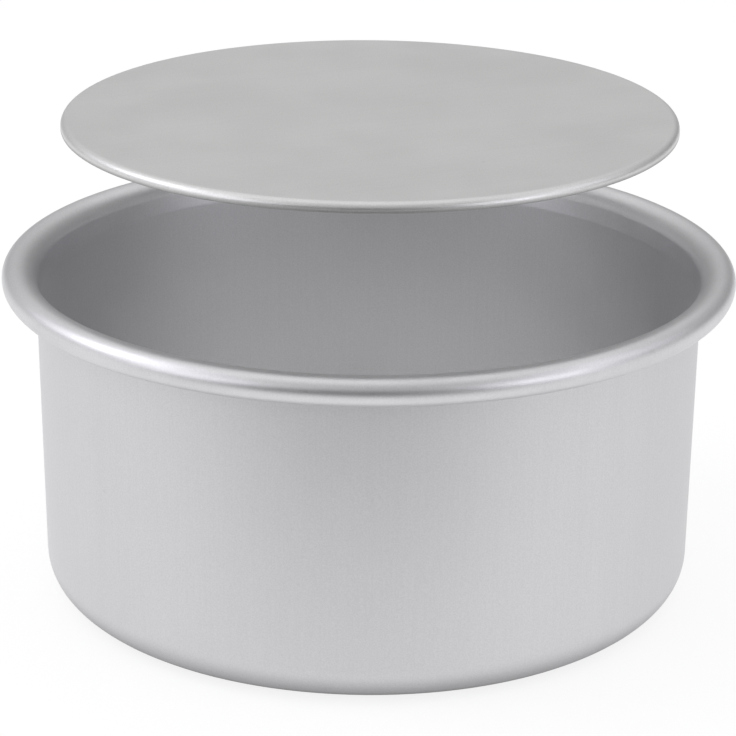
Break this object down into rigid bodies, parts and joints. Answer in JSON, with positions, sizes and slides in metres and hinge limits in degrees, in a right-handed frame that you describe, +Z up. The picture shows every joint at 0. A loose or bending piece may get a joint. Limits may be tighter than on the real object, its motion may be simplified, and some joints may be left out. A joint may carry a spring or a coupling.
{
  "type": "round cake tin",
  "caption": "Deep round cake tin with a rolled rim and a loose base, shown with the base raised above the mouth.",
  "frame": {"origin": "centre of the tin's underside, on its axis", "axes": "+Z up along the axis of the tin, the way the base is lifted out; X and Y are alike because both pieces are round"},
  "size_m": [0.2264, 0.2264, 0.1508],
  "materials": {
    "tin_metal": "satin silver anodised, very fine even grain, rim rubbed a little smoother",
    "base_metal": "satin silver anodised, very fine even grain"
  },
  "bodies": {
    "tin": {"tin": "tin_metal"},
    "loose_base": {"loose_base": "base_metal"}
  },
  "joints": [
    {"name": "base_lift", "type": "slide", "parent": "tin", "child": "loose_base", "axis": [0, 0, 1], "range_m": [-0.14547, 0]}
  ]
}
